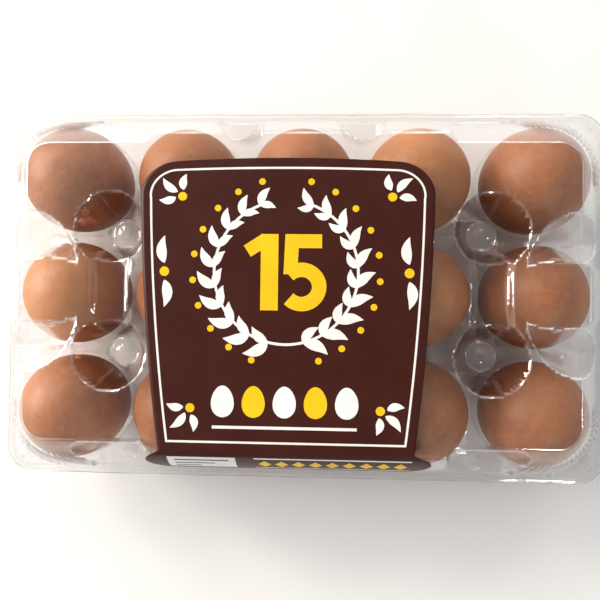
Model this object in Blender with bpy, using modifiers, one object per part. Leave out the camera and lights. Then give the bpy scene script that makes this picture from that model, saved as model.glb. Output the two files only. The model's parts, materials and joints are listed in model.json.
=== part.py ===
"""Clear hinged egg carton for fifteen eggs, with its eggs and the printed label on its lid.

Sizes below are in millimetres and are scaled to metres where a mesh is made.
The origin is at the middle of the underside, +X along the long side, and the
hinge is along the back edge at +Y.
"""
import math
import random

import bmesh
import bpy
from mathutils import Euler, Matrix, Vector

MM = 0.001

# Layout of the cells
PITCH = 48.0
COLUMNS = 5
ROWS = 3
CELL_STEPS = 8
TRAY_MARGIN = 2
LID_MARGIN = 6

# Sheet and gaps
SHEET = 0.5
GAP = 0.3

# Eggs, blunt end up
EGG_RADIUS = 21.45
EGG_BOTTOM_Z = 2.9
EGG_EQUATOR_Z = 35.0
EGG_TOP_Z = 60.0
EGG_SIZE_SPREAD = 0.012
EGG_TILT = math.radians(1.6)
EGG_SEGMENTS = 16
EGG_RINGS = 12
EGG_SEED = 15

# Flange that the two halves share
FLANGE_HALF_X = 127.0
FLANGE_HALF_Y = 77.5
FLANGE_TOP_Z = 32.0
FLANGE_CORNER = 12.0
FLANGE_FOOT_INSET = 4.0

# Tray cups, webs and pillars
CUP_FLOOR_RADIUS = 9.5
CUP_WAIST_RADIUS = 17.6
CUP_WAIST_Z = 9.0
CUP_RIM_RADIUS = 22.4
CUP_CENTRE_Z = 2.2
WEB_Z = 22.0
PILLAR_TOP_Z = 45.4
PILLAR_TOP_RADIUS = 5.4
PILLAR_FOOT_RADIUS = 13.5

# Lid: plateau, funnels and the shallow channels that join them
LID_TOP_Z = 66.0
PLATEAU_HALF_X = 104.5
PLATEAU_HALF_Y = 56.5
PLATEAU_MIDDLE_HALF_Y = 60.0
PLATEAU_END_HALF_X = 107.3
PLATEAU_STEP_X = 57.0
PLATEAU_END_Y = 10.0
PLATEAU_RIM = 3.5
FUNNEL_RIM_RADIUS = 14.0
FUNNEL_NECK_RADIUS = 9.4
FUNNEL_FLOOR_RADIUS = 5.6
FUNNEL_NECK_Z = 56.0
FUNNEL_FLOOR_Z = 46.5
CHANNEL_DEPTH = 5.0
CHANNEL_HALF_WIDTH = 7.4

# Lid wall, as distances out from the core rectangle and heights
SHOULDER_RING = 3
BELLY_RING = 4
SHOULDER_OUT = 14.0
SHOULDER_Z = 60.0
BELLY_OUT = 21.8
BELLY_Z = 46.0
FOOT_OUT = 25.8

# Flutes pressed into the lid wall between the cells
SIDE_FLUTE_TIP_X = 84.5
SIDE_FLUTE_TIP_Y = 9.5
SIDE_FLUTE_SPREAD = 0.55
SIDE_FLUTE_FALL = 1.12
SIDE_FLUTE_SIDE_SLOPE = 2.6
FLUTE_VALLEY_LINE = 3
BACK_FLUTE_X = 24.0
BACK_FLUTE_START_Y = 56.0
BACK_FLUTE_FALL = 3.2
BACK_FLUTE_SIDE_SLOPE = 2.6
EGG_ROOM = 1.3
FLUTE_FLOOR_Z = 34.6
PAD_X = 72.0
PAD_HALF_WIDTH = 12.0
PAD_PULL = 2.6

# Label: flat on the plateau, folded down the front wall
LABEL_SHEET = 0.3
LABEL_BACK_Y = 50.5
LABEL_ARCH = 1.4
LABEL_LEFT_X = -60.0
LABEL_RIGHT_X = 50.7
LABEL_FOLD_LEFT_X = -52.0
LABEL_FOLD_RIGHT_X = 43.6
LABEL_TIP_LEFT_X = -57.5
LABEL_TIP_RIGHT_X = 50.4
LABEL_CORNER = 14.0
LABEL_FLAP_REACH = 15.5
LABEL_COLUMNS = 14

NAME = "EggCarton"

PET_COLOUR = (0.86, 0.87, 0.85, 1.0)
SHELL_COLOUR = (0.47, 0.235, 0.115, 1.0)
LABEL_COLOUR = (0.065, 0.018, 0.014, 1.0)


def clear_scene():
    for obj in list(bpy.data.objects):
        bpy.data.objects.remove(obj, do_unlink=True)


def make_material(name, colour, roughness, alpha=1.0):
    material = bpy.data.materials.new(name)
    material.use_nodes = True
    shader = material.node_tree.nodes["Principled BSDF"]
    shader.inputs["Base Color"].default_value = colour
    shader.inputs["Roughness"].default_value = roughness
    shader.inputs["Metallic"].default_value = 0.0
    shader.inputs["Alpha"].default_value = alpha
    return material


def lerp(a, b, t):
    return a + (b - a) * t


def smooth(t):
    t = min(max(t, 0.0), 1.0)
    return t * t * (3.0 - 2.0 * t)


def ring_angle(a, b):
    """Angle of a point of a square ring, as if the ring were bent into a circle."""
    ring = max(abs(a), abs(b))
    eighth = math.pi / 4.0
    if a == ring and b != -ring:
        return eighth * b / ring
    if b == ring and a != ring:
        return eighth * (2.0 - a / ring)
    if a == -ring and b != ring:
        return eighth * (4.0 - b / ring)
    return eighth * (6.0 + a / ring)


def margin_outline(ex, ey, out_x, out_y, power):
    """Point on the margin ring at a corner, out from the core's corner."""
    ring = max(ex, ey)
    quarter = math.pi / 4.0
    angle = quarter * ey / ring if ex == ring else 2.0 * quarter - quarter * ex / ring
    across = abs(math.cos(angle) / out_x) ** power
    along = abs(math.sin(angle) / out_y) ** power
    reach = (across + along) ** (-1.0 / power)
    return reach * math.cos(angle), reach * math.sin(angle)


def flange_point(i, j, half_i, half_j, step, inset):
    """Point on the flange's rounded outline, or on one set in from it."""
    ex = max(abs(i) - half_i, 0)
    ey = max(abs(j) - half_j, 0)
    ring = max(ex, ey)
    edge_x = FLANGE_HALF_X - inset
    edge_y = FLANGE_HALF_Y - inset
    core_x = half_i * step
    core_y = half_j * step
    x = edge_x if ex == ring else min(abs(i), half_i) * step + (edge_x - core_x) * ex / ring
    y = edge_y if ey == ring else min(abs(j), half_j) * step + (edge_y - core_y) * ey / ring
    over_x = x - (FLANGE_HALF_X - FLANGE_CORNER)
    over_y = y - (FLANGE_HALF_Y - FLANGE_CORNER)
    if over_x > 0.0 and over_y > 0.0:
        shrink = (FLANGE_CORNER - inset) / math.hypot(over_x, over_y)
        x = FLANGE_HALF_X - FLANGE_CORNER + over_x * shrink
        y = FLANGE_HALF_Y - FLANGE_CORNER + over_y * shrink
    return math.copysign(x, i), math.copysign(y, j)


def make_shell(name, collection, material, steps_x, steps_y, place):
    """A sheet on a grid whose points are placed by a rule, with its thickness below."""
    mesh = bpy.data.meshes.new(name)
    grid = bmesh.new()
    bmesh.ops.create_grid(grid, x_segments=steps_x, y_segments=steps_y, size=1.0)
    for vertex in grid.verts:
        i = round((vertex.co.x + 1.0) / 2.0 * steps_x) - steps_x // 2
        j = round((vertex.co.y + 1.0) / 2.0 * steps_y) - steps_y // 2
        vertex.co = Vector(place(i, j)) * MM
    grid.normal_update()
    grid.to_mesh(mesh)
    grid.free()
    obj = bpy.data.objects.new(name, mesh)
    collection.objects.link(obj)
    mesh.materials.append(material)
    mesh.shade_smooth()
    mesh.set_sharp_from_angle(angle=math.radians(35.0))
    return obj


def add_thickness(obj, thickness):
    solidify = obj.modifiers.new("Thickness", "SOLIDIFY")
    solidify.thickness = thickness * MM
    solidify.offset = -1.0
    solidify.use_even_offset = False
    solidify.use_rim = True


def cell_centre(index, count):
    """Centre of the cell that a grid line index falls in, in grid steps."""
    half = CELL_STEPS // 2
    start = -count * half
    cell = min(max((index - start) // CELL_STEPS, 0), count - 1)
    return start + half + cell * CELL_STEPS


# Tray


def pillar_height(x, y):
    """Height of the land between cups: webs, and a pillar where four cells meet."""
    column = min(max(round((x / PITCH) - 0.5), -COLUMNS // 2 + 1), COLUMNS // 2 - 1) + 0.5
    row = min(max(round((y / PITCH) - 0.5), -1), 0) + 0.5
    away = math.hypot(x - column * PITCH, y - row * PITCH)
    if away <= PILLAR_TOP_RADIUS + 0.2:
        return PILLAR_TOP_Z
    rise = 1.0 - smooth((away - PILLAR_TOP_RADIUS) / (PILLAR_FOOT_RADIUS - PILLAR_TOP_RADIUS))
    return lerp(WEB_Z, PILLAR_TOP_Z - 1.0, rise)


def land_height(x, y):
    """Webs and pillars inside, rising to the flange towards the outer edge."""
    edge_x = COLUMNS * PITCH / 2.0
    edge_y = ROWS * PITCH / 2.0
    to_edge = min(edge_x - abs(x), edge_y - abs(y))
    lift = 1.0 - smooth(to_edge / (PITCH / 2.0 - 4.0))
    return lerp(pillar_height(x, y), FLANGE_TOP_Z, lift)


def tray_point(i, j):
    step = PITCH / CELL_STEPS
    half_i = COLUMNS * CELL_STEPS // 2
    half_j = ROWS * CELL_STEPS // 2
    ex = max(abs(i) - half_i, 0)
    ey = max(abs(j) - half_j, 0)
    if ex or ey:
        inset = 0.0 if max(ex, ey) == TRAY_MARGIN else FLANGE_FOOT_INSET
        x, y = flange_point(i, j, half_i, half_j, step, inset)
        return x, y, FLANGE_TOP_Z
    centre_i = cell_centre(i, COLUMNS)
    centre_j = cell_centre(j, ROWS)
    a = i - centre_i
    b = j - centre_j
    ring = max(abs(a), abs(b))
    centre_x = centre_i * step
    centre_y = centre_j * step
    if ring == CELL_STEPS // 2:
        x = i * step
        y = j * step
        return x, y, land_height(x, y)
    if ring == 0:
        return centre_x, centre_y, CUP_CENTRE_Z
    radius = {1: CUP_FLOOR_RADIUS, 2: CUP_WAIST_RADIUS, 3: CUP_RIM_RADIUS}[ring]
    angle = ring_angle(a, b)
    x = centre_x + radius * math.cos(angle)
    y = centre_y + radius * math.sin(angle)
    if ring == 1:
        return x, y, SHEET
    if ring == 2:
        return x, y, CUP_WAIST_Z
    return x, y, land_height(x, y)


def make_tray(collection, material):
    steps_x = COLUMNS * CELL_STEPS + 2 * TRAY_MARGIN
    steps_y = ROWS * CELL_STEPS + 2 * TRAY_MARGIN
    tray = make_shell("tray", collection, material, steps_x, steps_y, tray_point)
    add_thickness(tray, SHEET)
    return tray


# Lid


def plateau_out(x, y, along_x):
    """How far the plateau's edge lies out from the core, at a point along it."""
    core_x = (COLUMNS - 1) * PITCH / 2.0
    core_y = (ROWS - 1) * PITCH / 2.0
    if along_x:
        edge = PLATEAU_MIDDLE_HALF_Y if abs(x) < PLATEAU_STEP_X else PLATEAU_HALF_Y
        return edge - core_y
    edge = PLATEAU_END_HALF_X if abs(y) < PLATEAU_END_Y else PLATEAU_HALF_X
    return edge - core_x


def wall_ring(ring, plateau):
    """Distance out, height and corner roundness of one ring of the lid's margin."""
    extra = plateau - (PLATEAU_HALF_X - (COLUMNS - 1) * PITCH / 2.0)
    rings = {
        1: (plateau - PLATEAU_RIM, LID_TOP_Z, 2.0),
        2: (plateau, LID_TOP_Z, 2.0),
        SHOULDER_RING: (SHOULDER_OUT + 0.55 * extra, SHOULDER_Z, 2.0),
        BELLY_RING: (BELLY_OUT + 0.2 * extra, BELLY_Z, 2.1),
        LID_MARGIN - 1: (FOOT_OUT, FLANGE_TOP_Z + GAP + SHEET, 2.3),
    }
    return rings[ring]


def egg_height(x, y):
    """Height of the widest egg's upper surface at a point, or of its widest level beside it."""
    widest = EGG_RADIUS * (1.0 + EGG_SIZE_SPREAD)
    column = min(max(round(x / PITCH), -COLUMNS // 2 + 1), COLUMNS // 2)
    row = min(max(round(y / PITCH), -1), 1)
    away = math.hypot(x - column * PITCH, y - row * PITCH) / widest
    return EGG_EQUATOR_Z + (EGG_TOP_Z - EGG_EQUATOR_Z) * math.sqrt(max(1.0 - away * away, 0.0))


def flute_height(x, y):
    """Height of the nearest flute's floor, high above the lid away from the flutes."""
    run = abs(x) - SIDE_FLUTE_TIP_X
    valley_y = SIDE_FLUTE_TIP_Y + SIDE_FLUTE_SPREAD * run
    side = (
        LID_TOP_Z
        - SIDE_FLUTE_FALL * run
        + SIDE_FLUTE_SIDE_SLOPE * abs(abs(y) - valley_y)
    )
    back = (
        LID_TOP_Z
        - BACK_FLUTE_FALL * (y - BACK_FLUTE_START_Y)
        + BACK_FLUTE_SIDE_SLOPE * abs(abs(x) - BACK_FLUTE_X)
    )
    return max(min(side, back), FLUTE_FLOOR_Z, egg_height(x, y) + EGG_ROOM)


def flute_line(j, x, height):
    """Place along y of a grid line, drawn to a side flute's two edges and its valley."""
    run = abs(x) - SIDE_FLUTE_TIP_X
    valley = SIDE_FLUTE_TIP_Y + SIDE_FLUTE_SPREAD * run
    half = (SIDE_FLUTE_FALL * run - (LID_TOP_Z - height)) / SIDE_FLUTE_SIDE_SLOPE
    core_y = (ROWS - 1) * PITCH / 2.0
    knots = [
        (0, 0.0),
        (FLUTE_VALLEY_LINE - 1, valley - half),
        (FLUTE_VALLEY_LINE, valley),
        (FLUTE_VALLEY_LINE + 1, valley + half),
        (CELL_STEPS, core_y),
    ]
    for (low, low_y), (high, high_y) in zip(knots, knots[1:]):
        if j <= high:
            return lerp(low_y, high_y, (j - low) / (high - low))
    return core_y


def channel_height(x, y):
    """Height of the channel floors between the two funnels of a column edge."""
    if abs(y) > PITCH / 2.0:
        return LID_TOP_Z
    column = min(max(round((x / PITCH) - 0.5), -COLUMNS // 2 + 1), COLUMNS // 2 - 1) + 0.5
    width = lerp(CHANNEL_HALF_WIDTH, FUNNEL_RIM_RADIUS, (abs(y) / (PITCH / 2.0)) ** 2)
    across = (x - column * PITCH) / width
    return LID_TOP_Z - CHANNEL_DEPTH * max(1.0 - across * across, 0.0)


def lid_margin_point(i, j, half_i, half_j, step):
    ex = max(abs(i) - half_i, 0)
    ey = max(abs(j) - half_j, 0)
    ring = max(ex, ey)
    if ring == LID_MARGIN:
        x, y = flange_point(i, j, half_i, half_j, step, 0.0)
        return x, y, FLANGE_TOP_Z + GAP + SHEET
    x = min(abs(i), half_i) * step
    y = min(abs(j), half_j) * step
    out_x, height, power = wall_ring(ring, plateau_out(x, y, False))
    out_y = wall_ring(ring, plateau_out(x, y, True))[0]
    if j < 0 and ring in (SHOULDER_RING, BELLY_RING) and abs(x - PAD_X) < PAD_HALF_WIDTH:
        out_y -= PAD_PULL
    if ex and ey:
        dx, dy = margin_outline(ex, ey, out_x, out_y, power)
    elif ex:
        dx, dy = out_x, 0.0
        y = flute_line(abs(j), x + out_x, height)
    else:
        dx, dy = 0.0, out_y
    x = math.copysign(x + dx, i)
    y = math.copysign(y + dy, j)
    if ring < LID_MARGIN - 1:
        height = min(height, flute_height(x, y))
    return x, y, height


def lid_point(i, j):
    step = PITCH / CELL_STEPS
    half_i = (COLUMNS - 1) * CELL_STEPS // 2
    half_j = (ROWS - 1) * CELL_STEPS // 2
    if abs(i) > half_i or abs(j) > half_j:
        return lid_margin_point(i, j, half_i, half_j, step)
    centre_i = cell_centre(i, COLUMNS - 1)
    centre_j = cell_centre(j, ROWS - 1)
    a = i - centre_i
    b = j - centre_j
    ring = max(abs(a), abs(b))
    centre_x = centre_i * step
    centre_y = centre_j * step
    if ring == CELL_STEPS // 2:
        x = i * step
        y = j * step
        if abs(i) == half_i:
            y = math.copysign(flute_line(abs(j), x, LID_TOP_Z), j)
        return x, y, min(channel_height(x, y), flute_height(x, y))
    if ring == 0:
        return centre_x, centre_y, FUNNEL_FLOOR_Z
    radius = {1: FUNNEL_FLOOR_RADIUS, 2: FUNNEL_NECK_RADIUS, 3: FUNNEL_RIM_RADIUS}[ring]
    angle = ring_angle(a, b)
    x = centre_x + radius * math.cos(angle)
    y = centre_y + radius * math.sin(angle)
    if ring == 1:
        return x, y, FUNNEL_FLOOR_Z
    if ring == 2:
        return x, y, FUNNEL_NECK_Z
    return x, y, min(channel_height(x, y), flute_height(x, y))


def make_lid(collection, material):
    steps_x = (COLUMNS - 1) * CELL_STEPS + 2 * LID_MARGIN
    steps_y = (ROWS - 1) * CELL_STEPS + 2 * LID_MARGIN
    lid = make_shell("lid", collection, material, steps_x, steps_y, lid_point)
    add_thickness(lid, SHEET)
    return lid


# Label


def label_sides(run, flat_run, total_run):
    """Left and right edge of the label, at a distance from its back edge."""
    if run <= flat_run:
        t = run / flat_run
        left = lerp(LABEL_LEFT_X, LABEL_FOLD_LEFT_X, t ** 2)
        right = lerp(LABEL_RIGHT_X, LABEL_FOLD_RIGHT_X, t ** 2)
    else:
        t = (run - flat_run) / (total_run - flat_run)
        bulge = math.sin(math.pi * min(t * 1.15, 1.0) ** 0.8)
        left = lerp(LABEL_FOLD_LEFT_X, LABEL_TIP_LEFT_X, bulge)
        right = lerp(LABEL_FOLD_RIGHT_X, LABEL_TIP_RIGHT_X, bulge)
    if run < LABEL_CORNER:
        inset = 1.0 - math.sqrt(1.0 - (1.0 - run / LABEL_CORNER) ** 2)
        left += LABEL_CORNER * inset
        right -= LABEL_CORNER * inset
    return left, right


def label_path():
    """Side view of the label's underside, as distances run, y and z."""
    lift = GAP + LABEL_SHEET
    fold_y = -PLATEAU_MIDDLE_HALF_Y
    top_z = LID_TOP_Z + lift
    core_y = (ROWS - 1) * PITCH / 2.0
    shoulder_y = -(core_y + wall_ring(SHOULDER_RING, plateau_out(0.0, 0.0, True))[0])
    slope = math.atan2(LID_TOP_Z - SHOULDER_Z, fold_y - shoulder_y)
    backs = [0.0, 0.06, 0.16, 0.32, 0.55, 0.8, 1.0]
    points = []
    for part in backs:
        run = part * LABEL_CORNER
        points.append((run, LABEL_BACK_Y - run, top_z))
    flat_run = LABEL_BACK_Y - fold_y
    for part in (0.45, 0.75, 1.0):
        run = lerp(LABEL_CORNER, flat_run, part)
        points.append((run, LABEL_BACK_Y - run, top_z))
    shoulder_length = math.hypot(LID_TOP_Z - SHOULDER_Z, fold_y - shoulder_y)
    normal = Vector((-math.sin(slope), math.cos(slope)))
    start = Vector((fold_y, LID_TOP_Z)) + normal * lift
    along = Vector((-math.cos(slope), -math.sin(slope)))
    points.append((flat_run + 0.5, start.x, start.y))
    shoulder = start + along * (shoulder_length + 0.2)
    points.append((flat_run + shoulder_length + 0.5, shoulder.x, shoulder.y))
    belly_y = -(core_y + wall_ring(BELLY_RING, plateau_out(0.0, 0.0, True))[0])
    fall = Vector((belly_y - shoulder_y, BELLY_Z - SHOULDER_Z)).normalized()
    for part in (0.4, 0.75, 1.0):
        reach = (LABEL_FLAP_REACH - shoulder_length) * part
        point = shoulder + fall * reach
        points.append((flat_run + shoulder_length + 0.5 + reach, point.x, point.y))
    return points, flat_run


def make_label(collection, material):
    path, flat_run = label_path()
    total_run = path[-1][0]
    rows = len(path) - 1

    def place(i, j):
        row = rows // 2 - j
        run, y, z = path[row]
        left, right = label_sides(run, flat_run, total_run)
        across = (i + LABEL_COLUMNS // 2) / LABEL_COLUMNS
        arch = LABEL_ARCH * (2.0 * across - 1.0) ** 2 if row == 0 else 0.0
        return lerp(left, right, across), y - arch, z

    label = make_shell("label", collection, material, LABEL_COLUMNS, rows, place)
    add_thickness(label, LABEL_SHEET)
    return label


# Eggs


def make_egg(name, collection, material, x, y, rng):
    """An egg: a ball drawn out more below its widest level than above it."""
    mesh = bpy.data.meshes.new(name)
    ball = bmesh.new()
    bmesh.ops.create_uvsphere(ball, u_segments=EGG_SEGMENTS, v_segments=EGG_RINGS, radius=1.0)
    size = 1.0 + rng.uniform(-EGG_SIZE_SPREAD, EGG_SIZE_SPREAD)
    upper = (EGG_TOP_Z - EGG_EQUATOR_Z) * size
    lower = (EGG_EQUATOR_Z - EGG_BOTTOM_Z) * size
    for vertex in ball.verts:
        reach = upper if vertex.co.z > 0.0 else lower
        across = EGG_RADIUS * size
        vertex.co = Vector((vertex.co.x * across, vertex.co.y * across, vertex.co.z * reach))
    tilt = rng.uniform(0.0, EGG_TILT)
    turn = rng.uniform(0.0, 2.0 * math.pi)
    lean = Euler((tilt, 0.0, turn)).to_matrix().to_4x4()
    bmesh.ops.transform(ball, matrix=lean, verts=ball.verts)
    low = min(vertex.co.z for vertex in ball.verts)
    rise = Matrix.Translation((0.0, 0.0, EGG_BOTTOM_Z - low))
    bmesh.ops.transform(ball, matrix=rise, verts=ball.verts)
    bmesh.ops.scale(ball, vec=(MM, MM, MM), verts=ball.verts)
    ball.to_mesh(mesh)
    ball.free()
    egg = bpy.data.objects.new(name, mesh)
    collection.objects.link(egg)
    egg.location = (x * MM, y * MM, 0.0)
    mesh.materials.append(material)
    mesh.shade_smooth()
    return egg


def make_eggs(collection, material):
    rng = random.Random(EGG_SEED)
    eggs = []
    for row in range(ROWS):
        y = ((ROWS - 1) / 2.0 - row) * PITCH
        for column in range(COLUMNS):
            x = (column - (COLUMNS - 1) / 2.0) * PITCH
            name = f"egg_r{row + 1}c{column + 1}"
            eggs.append(make_egg(name, collection, material, x, y, rng))
    return eggs


def main():
    clear_scene()
    collection = bpy.data.collections.new(NAME)
    bpy.context.scene.collection.children.link(collection)
    plastic = make_material("clear_plastic", PET_COLOUR, 0.08, alpha=0.35)
    shell = make_material("egg_shell", SHELL_COLOUR, 0.45)
    paper = make_material("label_paper", LABEL_COLOUR, 0.3)

    tray = make_tray(collection, plastic)
    for egg in make_eggs(collection, shell):
        egg.parent = tray

    hinge = bpy.data.objects.new("hinge", None)
    hinge.location = Vector((0.0, FLANGE_HALF_Y + GAP, FLANGE_TOP_Z + GAP / 2.0)) * MM
    collection.objects.link(hinge)
    bpy.context.view_layer.update()
    for obj in (make_lid(collection, plastic), make_label(collection, paper)):
        obj.parent = hinge
        obj.matrix_parent_inverse = hinge.matrix_world.inverted()


main()
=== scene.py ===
"""Looks of a clear hinged carton with fifteen brown eggs and a printed paper label.

The file is laid out as a Blender add-on: settings, one operator for each piece or group of
like pieces, a panel that lists them, and a main function that runs them in order. Shapes are
worked out in millimetres, in the frame's own axes, and scaled to metres when a mesh is made.
"""
import json
import math

import bpy
import numpy as np
from bpy.props import FloatProperty, FloatVectorProperty, PointerProperty
from mathutils import Euler, Matrix, Vector


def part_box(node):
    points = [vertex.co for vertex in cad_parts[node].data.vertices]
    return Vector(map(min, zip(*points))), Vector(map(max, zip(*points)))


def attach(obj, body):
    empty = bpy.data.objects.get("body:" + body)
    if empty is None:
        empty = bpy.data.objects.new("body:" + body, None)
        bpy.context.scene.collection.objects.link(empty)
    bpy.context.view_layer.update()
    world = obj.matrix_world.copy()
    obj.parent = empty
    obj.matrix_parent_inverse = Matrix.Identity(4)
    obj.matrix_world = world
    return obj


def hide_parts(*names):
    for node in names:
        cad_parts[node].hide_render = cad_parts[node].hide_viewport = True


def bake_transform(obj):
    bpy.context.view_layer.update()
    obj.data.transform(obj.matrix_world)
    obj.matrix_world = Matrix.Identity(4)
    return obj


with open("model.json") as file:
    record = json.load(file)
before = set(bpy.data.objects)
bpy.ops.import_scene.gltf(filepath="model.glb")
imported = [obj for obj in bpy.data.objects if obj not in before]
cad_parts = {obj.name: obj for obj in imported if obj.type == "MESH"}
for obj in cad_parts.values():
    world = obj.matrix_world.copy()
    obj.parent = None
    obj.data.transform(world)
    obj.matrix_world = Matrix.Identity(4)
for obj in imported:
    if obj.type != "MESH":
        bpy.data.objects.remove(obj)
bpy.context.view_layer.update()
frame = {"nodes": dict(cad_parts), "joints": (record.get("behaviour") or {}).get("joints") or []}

bl_info = {
    "name": "Clear Egg Carton",
    "version": (1, 0, 0),
    "blender": (4, 5, 0),
    "location": "3D View > Sidebar > Egg Carton",
    "description": "Builds the clear sheet, eggs, label and stage of a hinged egg carton",
    "category": "Object",
}

MM = 0.001

LID_LOW, LID_HIGH = (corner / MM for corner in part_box("lid"))
_, TRAY_HIGH = (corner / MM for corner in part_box("tray"))
_, LABEL_HIGH = (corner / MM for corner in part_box("label"))
_, HINGE_Y, HINGE_Z = (part / MM for part in frame["joints"][0]["pos_m"])

# Layout that the lid and the tray share
PITCH = 48.0
HALF_PITCH = PITCH / 2.0
COLUMNS = 5
ROWS = 3
CORE_X = (COLUMNS - 1) * HALF_PITCH
CORE_Y = (ROWS - 1) * HALF_PITCH
FLANGE_CORNER = 12.0
CORNER_X = LID_HIGH.x - FLANGE_CORNER
CORNER_Y = LID_HIGH.y - FLANGE_CORNER

# Eggs as the sheets have to clear them
EGG_RADIUS = 21.8
EGG_WIDEST_Z = 35.0
EGG_TOP_Z = 60.3
EGG_ROOM = 1.2

# Lid: top, wall and the rings of its grid
LID_TOP = LID_HIGH.z
LID_FOOT = LID_LOW.z + 0.5
PLATEAU_OUT = 8.5
PLATEAU_MIDDLE_EXTRA = 3.5
PLATEAU_MIDDLE_X = 55.5
PLATEAU_END_EXTRA = 2.8
PLATEAU_END_Y = 9.0
PLATEAU_EASE = 4.0
WALL_HEIGHTS = (66.0, 60.0, 50.0, 40.0, 32.8)
WALL_OUTS = (8.5, 14.0, 19.6, 23.4, 25.8)
WALL_CURVE = np.polyfit(WALL_HEIGHTS, WALL_OUTS, 3)
BULGE_SHARE = 1.22
BULGE_LOW_Z = 38.0
BULGE_RISE = 30.0
PRESSED_SLOPE = 2.6
PLATEAU_RINGS = 14
WALL_RINGS = 21
FLANGE_INSETS = (3.2, 2.6, 2.1, 1.6, 1.1, 0.5, 0.0)
FOOT_RING = PLATEAU_RINGS + WALL_RINGS
LID_RINGS = FOOT_RING + len(FLANGE_INSETS)
BEAD_RING = LID_RINGS - 3
RIM_SWAY = 0.22
FINE_STEP = 0.56
COARSE_STEP = 1.22
FINE_REACH = 9.0


def length(name, description, millimetres):
    """A length that the user can change, given here in millimetres and kept in metres."""
    return FloatProperty(
        name=name, description=description, default=millimetres * MM, unit="LENGTH",
        subtype="DISTANCE", precision=5,
    )


def share(name, description, default):
    return FloatProperty(name=name, description=description, default=default, min=0.0, max=1.0)


def colour(name, description, default):
    return FloatVectorProperty(
        name=name, description=description, default=default, size=3, subtype="COLOR",
        min=0.0, max=1.0,
    )


class CartonLidSettings(bpy.types.PropertyGroup):
    """Sizes of what is pressed into the lid."""
    sheet: length("Sheet", "Thickness of the clear sheet", 0.35)
    funnel_rim: length("Funnel rim", "Radius of a funnel at the lid's top", 14.0)
    funnel_floor: length("Funnel floor", "Radius of a funnel's flat floor", 6.2)
    funnel_depth: length("Funnel depth", "Depth of a funnel below the lid's top", 19.5)
    pip_radius: length("Pip radius", "Radius of the pip in a funnel's floor", 2.6)
    pip_height: length("Pip height", "Height of the pip in a funnel's floor", 0.8)
    channel_width: length("Channel", "Half width of a channel at its narrowest", 7.4)
    channel_depth: length("Channel depth", "Depth of a channel below the lid's top", 3.2)
    pleat_depth: length("Pleat depth", "Depth of the pleats at the corners", 2.3)
    stud_radius: length("Stud radius", "Radius of a press stud", 3.0)
    stud_height: length("Stud height", "Height of a press stud", 1.7)
    bead_height: length("Bead height", "Height of the bead round the flange", 0.5)


class CartonTraySettings(bpy.types.PropertyGroup):
    """Sizes of the tray's cups, webs and pillars."""
    sheet: length("Sheet", "Thickness of the clear sheet", 0.35)
    cup_floor: length("Cup floor", "Radius of the ring that a cup stands on", 9.5)
    cup_waist: length("Cup waist", "Radius of a cup a little above its floor", 17.6)
    cup_rim: length("Cup rim", "Radius of a cup where it meets the webs", 22.4)
    web_height: length("Web height", "Height of the webs between two cups", 22.0)
    pillar_radius: length("Pillar radius", "Radius of a pillar's flat top", 5.4)


class CartonPlasticSettings(bpy.types.PropertyGroup):
    """Finish of the clear sheet."""
    tint: colour("Tint", "Colour of what the sheet reflects", (0.93, 0.94, 0.95))
    mirror: share("Mirror share", "Light that one face returns, seen straight on", 0.07)
    haze: share("Haze", "Extra light that scuffed places return", 0.015)
    # Painted highlight: opaque white added along sharp edges, standing in for the light their rounding
    # catches.
    edge: share("Edge", "Extra light that a sharp edge returns", 0.5)
    # Painted reflection: the dark red-brown put into the colour of the funnel walls and pleat creases,
    # for the eggs they mirror.
    nest: colour("Nest", "What a funnel's wall mirrors of the eggs round it", (0.22, 0.062, 0.036))
    nested: share("Nested", "Share of that in a funnel's wall", 0.17)
    roughness: share("Roughness", "Roughness of the moulded face", 0.06)


class CartonEggSettings(bpy.types.PropertyGroup):
    """Colours of the shells."""
    brown: colour("Brown", "Most shells", (0.45, 0.160, 0.054))
    golden: colour("Golden", "Shells with a golden tan", (0.56, 0.226, 0.074))
    reddish: colour("Reddish", "Shells with a redder brown", (0.40, 0.138, 0.046))
    greyish: colour("Greyish", "Shells with a duller brown", (0.42, 0.150, 0.054))
    speck: colour("Speck", "Small dark specks", (0.12, 0.045, 0.022))
    roughness: share("Roughness", "Roughness of the shell", 0.46)


class CartonLabelSettings(bpy.types.PropertyGroup):
    """Sizes and inks of the label."""
    sheet: length("Sheet", "Thickness of the label's paper", 0.16)
    lift: length("Lift", "Height of the label above the lid", 0.35)
    ink_lift: length("Ink lift", "Height of the printed shapes above the paper", 0.05)
    brown: colour("Brown ink", "Printed field", (0.046, 0.0095, 0.0065))
    white: colour("White ink", "White printed shapes", (0.80, 0.79, 0.77))
    yellow: colour("Yellow ink", "Yellow printed shapes", (0.86, 0.50, 0.012))


class CartonStageSettings(bpy.types.PropertyGroup):
    """Floor, lights and camera."""
    floor: colour("Floor", "Colour of the floor", (0.86, 0.86, 0.855))
    bright: FloatProperty(name="Bright", description="Strength at the back left", default=1.2)
    dim: FloatProperty(name="Dim", description="Strength at the front right", default=0.22)
    above: FloatProperty(name="Above", description="Strength straight above", default=0.13)
    key: FloatProperty(name="Key", description="Power of the window at the left, in watts", default=30.5)
    lens: FloatProperty(name="Lens", description="Focal length in millimetres", default=37.96)


# Small helpers for shapes


def smooth(t):
    """0 below 0, 1 above 1, and an even S between."""
    t = np.clip(t, 0.0, 1.0)
    return t * t * (3.0 - 2.0 * t)


def soft_min(a, b, blend):
    """The lower of two heights, rounded over where they are within blend of each other."""
    mix = np.clip(0.5 + 0.5 * (b - a) / blend, 0.0, 1.0)
    return b + (a - b) * mix - blend * mix * (1.0 - mix)


def soft_max(a, b, blend):
    """The higher of two heights, rounded in the same way."""
    return -soft_min(-a, -b, blend)


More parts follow.
